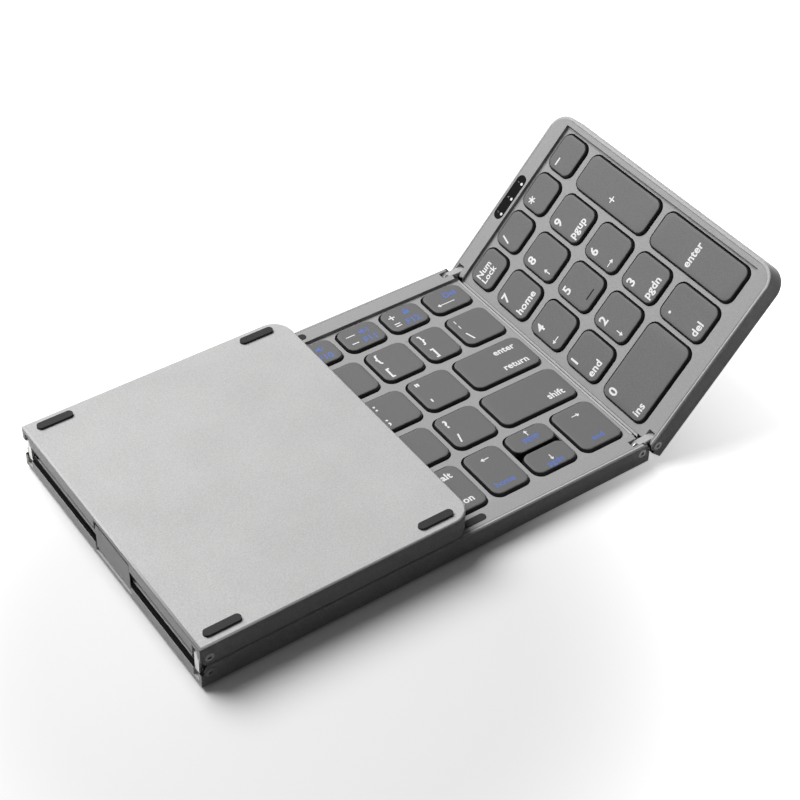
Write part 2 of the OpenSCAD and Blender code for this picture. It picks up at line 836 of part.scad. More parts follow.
module pad_screws() {
    color(bright_steel) at_pad() panel_screws(pad_w, foot_outer_x);
}

module pad_pins() {
    color(bright_steel) at_pad() end_pins();
}

module indicator_window() {
    color("black") at_pad() window_form(0);
}

module charging_socket() {
    color(bright_steel) at_pad()
        difference() {
            port_form(0, port_l);
            translate([port_x, panel_d - port_l + 1, -port_z])
                rotate([-90, 0, 0])
                    linear_extrude(port_l)
                        stadium(port_w - 0.6, port_h - 0.6);
        }
}

module pad_key(k) {
    color(key_grey) at_pad() keycap(k);
}

module left_links() {
    color(bright_steel) at_left_link() link_plates();
}

module left_cable() {
    color("sienna") at_left_link() mirror([0, 0, 1]) flat_cable();
}

module right_links() {
    color(bright_steel) at_right_link() link_plates();
}

module right_cable() {
    color("sienna") at_right_link() flat_cable();
}

middle_base();
middle_frame();
middle_board();
middle_feet();
middle_screws();
middle_pins();
rim_bumpers();
battery();
covered_keys();
left_base();
left_frame();
left_board();
left_feet();
left_screws();
left_pins();
left_keys();
pad_base();
pad_frame();
pad_board();
pad_feet();
pad_screws();
pad_pins();
indicator_window();
charging_socket();
left_links();
left_cable();
right_links();
right_cable();
for (k = MIDDLE_KEYS) middle_key(k);
for (k = PAD_KEYS) pad_key(k);
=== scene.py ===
import json
import math

import bmesh
import bpy
import numpy as np
from mathutils import Matrix, Vector

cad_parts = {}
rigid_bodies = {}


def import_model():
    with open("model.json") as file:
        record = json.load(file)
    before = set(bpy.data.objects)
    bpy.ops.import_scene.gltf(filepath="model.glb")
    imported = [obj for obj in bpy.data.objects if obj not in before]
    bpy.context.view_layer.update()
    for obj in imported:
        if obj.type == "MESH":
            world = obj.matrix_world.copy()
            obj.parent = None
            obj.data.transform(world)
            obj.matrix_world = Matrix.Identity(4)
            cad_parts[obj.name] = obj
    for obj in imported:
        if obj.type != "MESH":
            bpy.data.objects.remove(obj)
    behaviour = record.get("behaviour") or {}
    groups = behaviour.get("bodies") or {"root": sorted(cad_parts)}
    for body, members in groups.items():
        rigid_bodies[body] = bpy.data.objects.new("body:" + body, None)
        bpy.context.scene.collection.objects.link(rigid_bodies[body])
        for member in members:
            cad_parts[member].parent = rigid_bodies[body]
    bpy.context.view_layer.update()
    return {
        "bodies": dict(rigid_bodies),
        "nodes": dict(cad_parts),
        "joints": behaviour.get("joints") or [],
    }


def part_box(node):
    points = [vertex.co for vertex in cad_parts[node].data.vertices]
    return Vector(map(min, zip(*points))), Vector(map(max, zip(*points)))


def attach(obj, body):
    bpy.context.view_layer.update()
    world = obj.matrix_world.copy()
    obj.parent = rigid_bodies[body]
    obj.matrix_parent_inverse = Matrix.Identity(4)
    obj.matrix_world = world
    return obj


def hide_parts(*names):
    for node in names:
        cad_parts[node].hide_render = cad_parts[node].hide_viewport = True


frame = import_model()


# The camera stands in front of the keyboard and to its left, and looks down on it at about
# 42 degrees. It is a little rolled, and its lens is a short telephoto one.
CAMERA_PLACE = (-0.27955, -0.37567, 0.44433)
CAMERA_AZIMUTH = math.radians(-36.412)
CAMERA_DOWN = math.radians(42.427)
CAMERA_ROLL = math.radians(1.962)
CAMERA_LENS = 83.337

turn = Matrix.Rotation(CAMERA_AZIMUTH, 3, "Z")
turn = turn @ Matrix.Rotation(math.pi / 2 - CAMERA_DOWN, 3, "X")
turn = turn @ Matrix.Rotation(CAMERA_ROLL, 3, "Z")
camera = bpy.data.objects.new("camera", bpy.data.cameras.new("camera"))
camera.matrix_world = Matrix.Translation(CAMERA_PLACE) @ turn.to_4x4()
camera.data.lens = CAMERA_LENS
camera.data.sensor_width = 36
camera.data.clip_start = 0.01
bpy.context.scene.collection.objects.link(camera)
bpy.context.scene.camera = camera
bpy.context.scene.view_settings.view_transform = "Standard"


# The table is a plain pale floor. The camera, gloss and glass see it white, with the
# keyboard's shadow on it, and it sends only a little light back up. Its glow is painted
# shadow and light: it glows little near the keyboard, which deepens the shadow in front of
# it as painted shadow, and fully farther out, which paints out the farther shadows.
FLOOR_SIZE = 8.0
SHADOW_PATCH_GLOW = 0.02
GLOW_FAR = 0.95
SHADOW_PATCH_MIDDLE = (-0.085, -0.055, 0)
SHADOW_PATCH_REACH = (0.07, 0.225)
FLOOR_WHITE = 0.88
FLOOR_BOUNCE = 0.05


class Wire:
    """A shader output whose arithmetic adds Math nodes to its material."""

    def __init__(self, tree, socket):
        self.tree = tree
        self.socket = socket

    def node(self, kind, settings=(), output=0, **inputs):
        """A new node: its settings, then the values or wires of its sockets, by name or as i and a
        number."""
        made = self.tree.nodes.new(kind)
        for key, value in dict(settings).items():
            setattr(made, key, value)
        for key, value in inputs.items():
            numbered = key[0] == "i" and key[1:].isdigit()
            socket = made.inputs[int(key[1:]) if numbered else key.replace("_", " ")]
            if isinstance(value, Wire):
                self.tree.links.new(value.socket, socket)
            else:
                socket.default_value = value
        return Wire(self.tree, made.outputs[output])

    def sum(self, operation, first, second):
        """Two values or wires joined by one Math operation."""
        return self.node("ShaderNodeMath", {"operation": operation}, i0=first, i1=second)

    def __add__(self, other):
        return self.sum("ADD", self, other)

    __radd__ = __add__

    def __sub__(self, other):
        return self.sum("SUBTRACT", self, other)

    def __rsub__(self, other):
        return self.sum("SUBTRACT", other, self)

    def __mul__(self, other):
        return self.sum("MULTIPLY", self, other)

    __rmul__ = __mul__

    def step(self, low, high):
        """0 below low, 1 above high, and smooth between them."""
        return self.node("ShaderNodeMapRange", {"interpolation_type": "SMOOTHSTEP"},
                         Value=self, From_Min=low, From_Max=high)

    def tint(self, dark, light):
        """A colour between two, by this value."""
        return self.node("ShaderNodeMix", {"data_type": "RGBA"}, output=2, i0=self, i6=dark, i7=light)


floor_mesh = bpy.data.meshes.new("floor")
half = FLOOR_SIZE / 2
floor_mesh.from_pydata([(-half, -half, 0), (half, -half, 0), (half, half, 0), (-half, half, 0)],
                       [], [(0, 1, 2, 3)])
floor = bpy.data.objects.new("floor", floor_mesh)
bpy.context.scene.collection.objects.link(floor)
floor_finish = bpy.data.materials.new("floor")
floor_finish.use_nodes = True
tree = floor_finish.node_tree
tree.nodes.clear()
rays = tree.nodes.new("ShaderNodeLightPath")
seen = Wire(tree, rays.outputs["Is Camera Ray"])
seen = seen.sum("MAXIMUM", seen, Wire(tree, rays.outputs["Is Glossy Ray"]))
seen = seen.sum("MAXIMUM", seen, Wire(tree, rays.outputs["Is Transmission Ray"]))
bright = seen.node("ShaderNodeBsdfDiffuse", Color=(FLOOR_WHITE, FLOOR_WHITE, FLOOR_WHITE, 1))
spot = Wire(tree, tree.nodes.new("ShaderNodeTexCoord").outputs["Object"])
# Painted shadow and light: the glow rises with the distance from a point in front of the keyboard and left
# of its middle.
reach = spot.node("ShaderNodeVectorMath", {"operation": "DISTANCE"}, output=1,
                  i0=spot, i1=SHADOW_PATCH_MIDDLE)
level = reach.step(*SHADOW_PATCH_REACH) * (GLOW_FAR - SHADOW_PATCH_GLOW) + SHADOW_PATCH_GLOW
glow = seen.node("ShaderNodeEmission", Color=(1, 1, 1, 1), Strength=level)
lit = seen.node("ShaderNodeAddShader", i0=bright, i1=glow)
dim = seen.node("ShaderNodeBsdfDiffuse", Color=(FLOOR_BOUNCE, FLOOR_BOUNCE, FLOOR_BOUNCE, 1))
mixed = seen.node("ShaderNodeMixShader", i0=seen, i1=dim, i2=lit)
out = tree.nodes.new("ShaderNodeOutputMaterial")
tree.links.new(mixed.socket, out.inputs["Surface"])
floor_mesh.materials.append(floor_finish)


# The studio: a dim room that the camera sees white and that is darkest in front and at the
# right, and one large soft lamp above the keyboard, a little to its left and behind it.
ROOM_DARK = 0.015
ROOM_BRIGHT = 0.30
ROOM_SIDE = (-0.5, 0.75, 0.43)
ROOM_TURN = (-0.3, 0.9)
LAMP_PLACE = (-0.28, 0.58, 0.98)
LAMP_AIM = (0, 0, 0.02)
LAMP_SIZE = 0.9
LAMP_POWER = 15.5

world = bpy.data.worlds.new("studio")
world.use_nodes = True
bpy.context.scene.world = world
tree = world.node_tree
tree.nodes.clear()
rays = tree.nodes.new("ShaderNodeLightPath")
seen = Wire(tree, rays.outputs["Is Camera Ray"])
seen = seen.sum("MAXIMUM", seen, Wire(tree, rays.outputs["Is Transmission Ray"]))
white = seen.node("ShaderNodeBackground", Color=(1, 1, 1, 1), Strength=1.0)
direction = Wire(tree, tree.nodes.new("ShaderNodeTexCoord").outputs["Generated"])
side = direction.node("ShaderNodeVectorMath", {"operation": "DOT_PRODUCT"}, output=1,
                      i0=direction, i1=ROOM_SIDE)
level = side.step(*ROOM_TURN) * (ROOM_BRIGHT - ROOM_DARK) + ROOM_DARK
room = seen.node("ShaderNodeBackground", Color=(1, 1, 1, 1), Strength=level)
mixed = seen.node("ShaderNodeMixShader", i0=seen, i1=room, i2=white)
out = tree.nodes.new("ShaderNodeOutputWorld")
tree.links.new(mixed.socket, out.inputs["Surface"])

lamp = bpy.data.lights.new("overhead", "AREA")
lamp.shape = "DISK"
lamp.size = LAMP_SIZE
lamp.energy = LAMP_POWER
lamp_object = bpy.data.objects.new("overhead", lamp)
aim = (Vector(LAMP_AIM) - Vector(LAMP_PLACE)).to_track_quat("-Z", "Y")
lamp_object.matrix_world = Matrix.Translation(LAMP_PLACE) @ aim.to_matrix().to_4x4()
bpy.context.scene.collection.objects.link(lamp_object)


# The keyboard is three flat panels in a row. Each has flat coordinates of its own: x from
# its left end, y from its front face and z up from its rim, in millimetres. The left panel
# lies upside down on the middle one, and the number pad stands part way up.
MM = 0.001


class Panel:
    """A panel's place: its flat origin, and where its flat x, y and z axes point."""

    def __init__(self, body, corner, x_axis, z_axis):
        self.body = body
        self.corner = np.array(corner, float)
        self.axes = np.array([x_axis, (0, 1, 0), z_axis], float)

    def place(self, flat):
        """Flat millimetres to metres in the frame: the corner plus each axis times its coordinate."""
        return self.corner + np.asarray(flat, float) @ self.axes * MM

    def flat(self, points):
        """Metres in the frame to flat millimetres, the other way round."""
        return (np.asarray(points, float) - self.corner) @ self.axes.T / MM


joints = {joint["name"]: joint for joint in frame["joints"]}
middle_low, middle_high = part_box("middle_base")
left_low, left_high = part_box("left_base")
rest_tilt = math.radians(-joints["number_pad_fold"]["range_deg"][0])
pad_pin = np.array(joints["number_pad_fold"]["pos_m"])
pin_in = middle_high.z - joints["right_link_fold"]["pos_m"][2]
pad_x = np.array((math.cos(rest_tilt), 0, math.sin(rest_tilt)))
pad_z = np.array((-math.sin(rest_tilt), 0, math.cos(rest_tilt)))
pad_corner = pad_pin + pin_in * (pad_z - pad_x)
pad_corner[1] = middle_low.y

middle = Panel("middle_panel", (middle_low.x, middle_low.y, middle_high.z), (1, 0, 0), (0, 0, 1))
left = Panel("left_panel", (left_high.x, left_low.y, left_low.z), (-1, 0, 0), (0, 0, -1))
pad = Panel("number_pad", pad_corner, pad_x, pad_z)


# The three trays are moulded cases with a satin metallic lacquer: a pale grey with fine
# bright and dark grains, and softened edges. Each has hinge ends with pin holes and a slot
# for the flat cable. Above the pins, the steps of the hinge ends are painted near black:
# painted shade for the shadow down in the hinge grooves.
CASE_EDGE_MM = 0.2
LONG_EDGE_MM = 0.9
SHARP_DEGREES = 28
FLAT_DEGREES = 0.5
WELD = 1e-6
BIG_FACE_WEIGHT = 90
STEEP = 0.3
STEP_REACH = 1.3
STEP_TOP = -1.4
CASE_DARK = 184
CASE_LIGHT = 208
HINGE_SHADE_DARK = 14
HINGE_SHADE_LIGHT = 22


def grey(level, warm=0.0):
    """A screen grey from 0 to 255, a little warmer or cooler, as a linear colour."""
    tones = [level + warm, level, level - warm]
    return tuple((t / 255 / 12.92 if t / 255 < 0.04045 else ((t / 255 + 0.055) / 1.055) ** 2.4)
                 for t in tones) + (1.0,)


class Finish:
    """A new material: its principled shader, its Object coordinates and its bump."""

    def __init__(self, name, **constants):
        self.material = bpy.data.materials.new(name)
        self.material.use_nodes = True
        self.tree = self.material.node_tree
        self.shader = self.tree.nodes["Principled BSDF"]
        coordinates = self.tree.nodes.new("ShaderNodeTexCoord")
        self.place = Wire(self.tree, coordinates.outputs["Object"])
        for key, value in constants.items():
            self.shader.inputs[key.replace("_", " ")].default_value = value

    def noise(self, grain_mm, detail=2.0, stretch=(1, 1, 1)):
        """Noise whose grains are about grain_mm across, stretched along any axis."""
        place = self.place.node("ShaderNodeMapping", Vector=self.place,
                                Scale=tuple(1 / (grain_mm * MM * s) for s in stretch))
        return place.node("ShaderNodeTexNoise", Vector=place, Scale=1.0, Detail=detail)

    def set(self, socket, wire):
        self.tree.links.new(wire.socket, self.shader.inputs[socket])

    def bump(self, height, depth_mm, strength=1.0):
        """Bumps of a height from 0 to 1, depth_mm deep."""
        normal = height.node("ShaderNodeBump", Height=height, Distance=depth_mm * MM, Strength=strength)
        self.set("Normal", normal)


lacquer = Finish("satin_lacquer", Roughness=0.42, Specular_IOR_Level=0.08)
grains = lacquer.noise(0.42, detail=3.0)
clouds = lacquer.noise(22, detail=2.0)
shade = (grains - 0.5) * 0.9 + (clouds - 0.5) * 0.25 + 0.5
lacquer.set("Base Color", shade.step(0.2, 0.8).tint(grey(CASE_DARK, 0.3), grey(CASE_LIGHT, 0.3)))
lacquer.set("Roughness", (grains - 0.5) * 0.25 + 0.42)
lacquer.set("Metallic", grains.step(0.35, 0.75) * 0.1)
lacquer.bump(grains, 0.012, 0.6)

# Painted shade: a near-black finish for the hinge-end steps above the pins, standing for the shadow down in
# the hinge grooves.
hinge_groove_shade = Finish("hinge_groove_shade", Roughness=0.6, Specular_IOR_Level=0.1)
hinge_groove_shade.set("Base Color", hinge_groove_shade.noise(0.5).tint(grey(HINGE_SHADE_DARK), grey(HINGE_SHADE_LIGHT)))


def shown(name, mesh, panel_or_body, slot, *nodes, finishes=()):
    """Shows a mesh as a piece: it rides on a body, and may stand for CAD nodes."""
    piece = bpy.data.objects.new(name, mesh)
    bpy.context.scene.collection.objects.link(piece)
    for finish in finishes:
        mesh.materials.append(finish.material)
    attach(piece, getattr(panel_or_body, "body", panel_or_body))
    if nodes:
        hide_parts(*nodes)
    return piece


def in_hinge_step(face, panel):
    """Whether a face of a panel is in the step of one of its hinge ends: above the pins, and either
    steep or low down and next to the end."""
    x, y, z = panel.flat(face.calc_center_median())
    lean = (panel.axes @ np.array(face.normal))[0]
    depth = pin_in / MM
    width = (left_high.x - left_low.x if panel is left else middle_high.x - middle_low.x) / MM
    ends = []
    if panel is not left:
        ends.append((x, -lean))
    if panel is not pad:
        ends.append((width - x, lean))
    if z < -depth - CASE_EDGE_MM / 2:
        return False
    return any(inward < depth and outward > STEEP or inward < STEP_REACH and z < STEP_TOP
               for inward, outward in ends)


def softened(name, node, panel_or_body, slot, finishes, edge_mm, segments=3):
    """A CAD node again, with its flat triangles merged and its long sharp edges rounded by edge_mm.
    With a second finish, the steps of its hinge ends above the pins take that one, as painted shade."""
    mesh = frame["nodes"][node].data.copy()
    mesh.name = name
    mesh.materials.clear()
    work = bmesh.new()
    work.from_mesh(mesh)
    bmesh.ops.remove_doubles(work, verts=work.verts, dist=WELD)
    bmesh.ops.dissolve_limit(work, angle_limit=math.radians(FLAT_DEGREES),
                             verts=work.verts, edges=work.edges)
    rounded = work.edges.layers.float.new("bevel_weight_edge")
    for edge in work.edges:
        sharp = edge.is_manifold and edge.calc_face_angle() > math.radians(SHARP_DEGREES)
        edge[rounded] = float(sharp and edge.calc_length() > LONG_EDGE_MM * MM)
    for face in work.faces:
        face.smooth = True
        # Faces in a hinge step take the second finish, the painted shade of the groove.
        face.material_index = int(len(finishes) > 1 and in_hinge_step(face, panel_or_body))
    work.to_mesh(mesh)
    work.free()
    piece = shown(name, mesh, panel_or_body, slot, node, finishes=finishes)
    bevel = piece.modifiers.new("edges", "BEVEL")
    bevel.width = edge_mm * MM
    bevel.segments = segments
    bevel.limit_method = "WEIGHT"
    bevel.use_clamp_overlap = False
    weighted = piece.modifiers.new("shading", "WEIGHTED_NORMAL")
    weighted.mode = "FACE_AREA"
    weighted.weight = BIG_FACE_WEIGHT
    return piece


softened("left_case", "left_base", left, "underside", [lacquer, hinge_groove_shade], CASE_EDGE_MM)
softened("middle_case", "middle_base", middle, "underside", [lacquer, hinge_groove_shade], CASE_EDGE_MM)
softened("pad_case", "pad_base", pad, "underside", [lacquer, hinge_groove_shade], CASE_EDGE_MM)


# A thin plate of the same lacquer fills each tray: the rim strips and, one step down, the
# web between the keys. It is one moulding, so its edges are crisp.
PLATE_EDGE_MM = 0.1
PLATE_DARK = 160
PLATE_LIGHT = 180

plate_lacquer = Finish("plate_lacquer", Roughness=0.5, Specular_IOR_Level=0.08)
grains = plate_lacquer.noise(0.35, detail=3.0)
plate_lacquer.set("Base Color", grains.step(0.2, 0.8).tint(grey(PLATE_DARK), grey(PLATE_LIGHT)))
plate_lacquer.set("Metallic", grains.step(0.35, 0.75) * 0.1)
plate_lacquer.bump(grains, 0.01, 0.5)

# The plates' hinge steps take the same painted shade.
for panel, node in ((left, "left_frame"), (middle, "middle_frame"), (pad, "pad_frame")):
    softened(node.replace("frame", "plate"), node, panel, "frame", [plate_lacquer, hinge_groove_shade],
             PLATE_EDGE_MM, 2)


# The keycaps have a matt grey face and rim, and their skirts and insides are painted near
# black: painted shade for the dark gaps and shaded sides round each key. Each is a
# hollow cap with a flat, barely dished face, a rounded rim and a skirt that flares under the
# web.
CAP_HEIGHT = 3.25
CAP_FLARE = 0.45
CAP_SHOULDER = 1.25
CAP_CORNER = 3.0
CAP_LEAST_SIDE = 0.5
CAP_LEAST_CORNER = 0.4
CAP_RIM = 0.35
CAP_WALL = 1.0
CAP_DISH = 0.03
CAP_FACE_RINGS = (0.35, 0.65, 0.85)
CAP_RIM_RINGS = 5
CAP_QUARTER = 8
CAP_DARK = 107
CAP_LIGHT = 121
SKIRT_SHADE_DARK = 22
SKIRT_SHADE_LIGHT = 32
SMOOTH_DEGREES = 40

cap_plastic = Finish("key_plastic", Roughness=0.58, Specular_IOR_Level=0.4)
grains = cap_plastic.noise(0.3, detail=2.0)
smudge = cap_plastic.noise(14, detail=3.0)
cap_plastic.set("Base Color", grains.step(0.3, 0.7).tint(grey(CAP_DARK), grey(CAP_LIGHT)))
cap_plastic.set("Roughness", (smudge - 0.5) * 0.2 + 0.58)
cap_plastic.bump(grains, 0.015, 0.5)
# Painted shade: the near-black finish of the key skirts and insides, standing for the shade in the gaps
# round the keys.
cap_painted_shade = Finish("key_skirt_painted_shade", Roughness=0.45, Specular_IOR_Level=0.3)
grains = cap_painted_shade.noise(0.4, detail=2.0)
cap_painted_shade.set("Base Color", grains.tint(grey(SKIRT_SHADE_DARK), grey(SKIRT_SHADE_LIGHT)))
cap_painted_shade.bump(grains, 0.01, 0.5)


def rounded_ring(half_x, half_y, radius):
    """Points round a rounded rectangle: a quarter circle about a centre that lies radius inside each
    corner."""
    turn = np.linspace(0, np.pi / 2, CAP_QUARTER)
    turn = (turn + np.arange(4)[:, None] * np.pi / 2).ravel()
    side_x = np.repeat([1, -1, -1, 1], CAP_QUARTER)
    side_y = np.repeat([1, 1, -1, -1], CAP_QUARTER)
    x = side_x * (half_x - radius) + radius * np.cos(turn)
    y = side_y * (half_y - radius) + radius * np.sin(turn)
    return np.stack([x, y], -1)


def ring_quads(count, around):
    """Faces between each ring of points and the next, count rings of around points each."""
    i = np.arange(around)
    j = (i + 1) % around
    start = np.arange(count - 1)[:, None] * around
    return np.stack([start + i, start + around + i, start + around + j, start + j], -1).reshape(-1, 4)


def keycap(box):
    """Points and faces of one cap: a stack of rounded rectangles from the middle of its face, out over
    the rim, down the skirt, and up inside it to the middle of its ceiling."""
    x0, y0, x1, y1, top = box
    half_x, half_y = (x1 - x0) / 2, (y1 - y0) / 2
    rim = np.linspace(np.pi / 2, 0, CAP_RIM_RINGS)
    stack = [(CAP_RIM, -CAP_DISH * (1 - s * s), s) for s in CAP_FACE_RINGS]
    stack += [(CAP_RIM * (1 - np.cos(a)), CAP_RIM * (np.sin(a) - 1), 1) for a in rim]
    coated_rings = len(stack)
    stack += [(-CAP_FLARE, -CAP_SHOULDER, 1), (-CAP_FLARE, -CAP_HEIGHT, 1)]
    stack += [(CAP_WALL, -CAP_HEIGHT, 1), (CAP_WALL, -CAP_WALL, 1)]
    rings = []
    for inset, z, scale in stack:
        radius = min(CAP_CORNER - max(inset, -CAP_FLARE), half_y - inset - CAP_LEAST_SIDE)
        radius = max(radius, CAP_LEAST_CORNER)
        ring = rounded_ring(half_x - inset, half_y - inset, radius) * scale
        rings.append(np.column_stack([ring, np.full(len(ring), z)]))
    around = len(rings[0])
    points = np.vstack(rings + [[(0, 0, -CAP_DISH), (0, 0, -CAP_WALL)]])
    points += ((x0 + x1) / 2, (y0 + y1) / 2, top)
    quads = ring_quads(len(rings), around)
    last = (len(rings) - 1) * around
    face_middle, ceiling_middle = len(points) - 2, len(points) - 1
    i = np.arange(around)
    j = (i + 1) % around
    fans = [(face_middle, a, b) for a, b in zip(i, j)]
    fans += [(last + a, ceiling_middle, last + b) for a, b in zip(i, j)]
    # Faces past the rim, and the cap's inside, take the second finish, the painted shade.
    coated = around * (coated_rings - 1)
    painted_shade_faces = [0] * coated + [1] * (len(quads) - coated) + [0] * around + [1] * around
    return points, quads.tolist() + fans, painted_shade_faces


def solids(points, faces):
    """One mesh from points in metres and faces, smooth except at its sharper edges."""
    mesh = bpy.data.meshes.new("piece")
    mesh.from_pydata(points.tolist(), [], faces)
    mesh.shade_smooth()
    mesh.set_sharp_from_angle(angle=math.radians(SMOOTH_DEGREES))
    return mesh


def flat_corners(node, panel):
    """The corners of a CAD node in a panel's flat millimetres."""
    mesh = frame["nodes"][node].data
    corners = np.zeros(len(mesh.vertices) * 3)
    mesh.vertices.foreach_get("co", corners)
    return panel.flat(corners.reshape(-1, 3))


def cap_boxes(node, panel):
    """The face box of each cap of a node, in flat millimetres: its solids are the groups of corners
    that its triangles join, and a face is CAP_FLARE inside its skirt on each side."""
    mesh = frame["nodes"][node].data
    spots, merged = np.unique(np.round(flat_corners(node, panel), 3), axis=0, return_inverse=True)
    triangles = np.zeros(len(mesh.polygons) * 3, int)
    mesh.polygons.foreach_get("vertices", triangles)
    triangles = merged.ravel()[triangles].reshape(-1, 3)
    group = np.arange(len(spots))
    while True:
        lowest = group[triangles].min(axis=1)
        linked = group.copy()
        for column in triangles.T:
            np.minimum.at(linked, column, lowest)
        if (linked == group).all():
            break
        group = linked
    boxes = []
    for label in np.unique(group):
        solid = spots[group == label]
        low, high = solid.min(axis=0), solid.max(axis=0)
        boxes.append((low[0] + CAP_FLARE, low[1] + CAP_FLARE, high[0] - CAP_FLARE,
                      high[1] - CAP_FLARE, high[2]))
    return boxes


def show_caps(node, panel):
    """All the caps of a node as one piece, and their face boxes, back row first and left to right."""
    boxes = sorted(cap_boxes(node, panel), key=lambda box: (-round(box[1] + box[3]), box[0]))
    points, faces, painted_shade_faces = [], [], []
    for box in boxes:
        cap_points, cap_faces, cap_painted_shade_faces = keycap(box)
        start = sum(len(p) for p in points)
        points.append(cap_points)
        faces += [tuple(start + k for k in face) for face in cap_faces]
        painted_shade_faces += cap_painted_shade_faces
    mesh = solids(panel.place(np.vstack(points)), faces)
    mesh.polygons.foreach_set("material_index", painted_shade_faces)
    shown("caps_" + node, mesh, node, "keys", node, finishes=[cap_plastic, cap_painted_shade])
    return boxes


key_panels = {node: middle for node in frame["nodes"] if node.startswith("key_")}
key_panels.update({node: pad for node in frame["nodes"]
                   if node.startswith("pad_") and node in frame["bodies"]})
key_panels["covered_keys"] = middle
key_panels["left_keys"] = left
key_boxes = {node: show_caps(node, panel) for node, panel in key_panels.items()}


# The legends are printed on the key faces: white ink, and blue for what a key does with the
# function key held. Most are words and signs, and some are arrows and small pictures.
INK_RISE = 0.02
CAP_TO_SIZE = 1 / 0.682
LETTER_BOLD = 0.04
LETTER_SPACE = 1.04
LETTER_STEPS = 3
STROKE = 0.4
ARC_STEPS = 8
DOT_STEPS = 16
DOT_R = 0.55
ARROW_HALF = 0.7

white_ink = Finish("white_ink", Roughness=0.5)
white_ink.set("Base Color", white_ink.noise(0.5).tint(grey(236), grey(250)))
blue_ink = Finish("blue_ink", Roughness=0.5)
blue_ink.set("Base Color", blue_ink.noise(0.5).tint((0.10, 0.17, 0.50, 1), (0.14, 0.23, 0.60, 1)))


def word(text, height):
    """Points and triangles of printed text, from its baseline up, with capitals height tall."""
    curve = bpy.data.curves.new("legend", "FONT")
    curve.body = text
    curve.size = height * CAP_TO_SIZE
    curve.resolution_u = LETTER_STEPS
    curve.offset = LETTER_BOLD * height
    curve.space_character = LETTER_SPACE
    holder = bpy.data.objects.new("legend", curve)
    bpy.context.scene.collection.objects.link(holder)
    mesh = bpy.data.meshes.new_from_object(holder)
    mesh.calc_loop_triangles()
    points = np.zeros(len(mesh.vertices) * 3)
    mesh.vertices.foreach_get("co", points)
    triangles = np.zeros(len(mesh.loop_triangles) * 3, int)
    mesh.loop_triangles.foreach_get("vertices", triangles)
    bpy.data.objects.remove(holder)
    bpy.data.curves.remove(curve)
    bpy.data.meshes.remove(mesh)
    return points.reshape(-1, 3)[:, :2], triangles.reshape(-1, 3)


def convex(*corners):
    """A convex outline filled as a fan of triangles from its first corner."""
    count = np.arange(1, len(corners) - 1)
    return np.array(corners, float), np.stack([0 * count, count, count + 1], -1)


def bar(width, height):
    """A filled rectangle, from 0, 0."""
    return convex((0, 0), (width, 0), (width, height), (0, height))


def disc(radius):
    """A filled circle about 0, 0, with DOT_STEPS corners."""
    turn = np.linspace(0, math.tau, DOT_STEPS + 1)[:-1]
    return convex(*np.stack([np.cos(turn), np.sin(turn)], -1) * radius)


def arc(x, y, radius, start, end, stroke=STROKE):
    """A stroke along a circle about x, y from one angle to another, in degrees."""
    turn = np.radians(np.linspace(start, end, ARC_STEPS + 1))
    ring = np.stack([np.cos(turn), np.sin(turn)], -1)
    points = np.vstack([ring * (radius + stroke / 2), ring * (radius - stroke / 2)]) + (x, y)
    i = np.arange(ARC_STEPS)
    inner = i + ARC_STEPS + 1
    return points, np.vstack([np.stack([inner, i, i + 1], -1), np.stack([inner, i + 1, inner + 1], -1)])


def moved(shape, x, y):
    """A flat shape moved by x and y."""
    points, triangles = shape
    return points + (x, y), triangles


def spun(shape, degrees):
    """A flat shape turned about 0, 0 by degrees."""
    points, triangles = shape
    turn = math.radians(degrees)
    rows = (math.cos(turn), math.sin(turn)), (-math.sin(turn), math.cos(turn))
    return points @ np.array(rows), triangles


def together(*shapes):
    """Several shapes as one."""
    starts = np.cumsum([0] + [len(points) for points, triangles in shapes])
    return (np.vstack([points for points, triangles in shapes]),
            np.vstack([triangles + start for start, (points, triangles) in zip(starts, shapes)]))


def arrow(degrees, length, head=1.25):
    """An arrow of a length, turned by degrees from pointing right, with its middle at 0, 0."""
    tip = length / 2
    neck = tip - head
    shaft = convex((-tip, -STROKE / 2), (neck, -STROKE / 2), (neck, STROKE / 2), (-tip, STROKE / 2))
    point = convex((neck, -ARROW_HALF * head), (tip, 0), (neck, ARROW_HALF * head))
    return spun(together(shaft, point), degrees)


def star():
    """Three bars crossed at their middles, 60 degrees apart."""
    return together(*[spun(moved(bar(3.0, 0.5), -1.5, -0.25), turn) for turn in (30, 90, 150)])


def speaker(*waves):
    """A loudspeaker with sound waves of some radii."""
    return together(bar(0.9, 1.1), convex((0.9, 0), (2.0, -0.9), (2.0, 2.0), (0.9, 1.1)),
                    *[arc(2.0, 0.55, radius, -48, 48, 0.35) for radius in waves])


PICTURES = {
    "left": arrow(180, 3.4),
    "right": arrow(0, 3.4),
    "up": arrow(90, 3.2),
    "down": arrow(-90, 3.2),
    "short_up": arrow(90, 2.7, 1.1),
    "short_down": arrow(-90, 2.7, 1.1),
    "long_left": arrow(180, 7.6, 1.3),
    "low_dash": bar(3.8, 0.42),
    "dash": bar(2.8, 0.5),
    "minus": bar(3.1, 0.6),
    "equals": together(bar(2.5, 0.5), moved(bar(2.5, 0.5), 0, 1.2)),
    "plus": together(moved(bar(2.7, 0.5), 0, 1.1), moved(bar(0.5, 2.7), 1.1, 0)),
    "star": star(),
    "point": disc(DOT_R),
    "split_bar": together(bar(0.4, 1.8), moved(bar(0.4, 1.8), 0, 3.0)),
    "loud": speaker(1.0, 1.9),
    "quiet": speaker(1.0),
    "lock": together(bar(2.4, 1.7), arc(1.2, 1.75, 0.72, 0, 180, 0.4)),
    "play": together(convex((0, 0), (1.9, 1.1), (0, 2.2)), moved(bar(0.4, 2.2), 2.3, 0)),
    "sun": together(arc(1.2, 1.2, 0.55, 0, 360, 0.5), arc(1.2, 1.2, 1.25, 0, 60, 0.3),
                    arc(1.2, 1.2, 1.25, 120, 180, 0.3), arc(1.2, 1.2, 1.25, 240, 300, 0.3)),
}

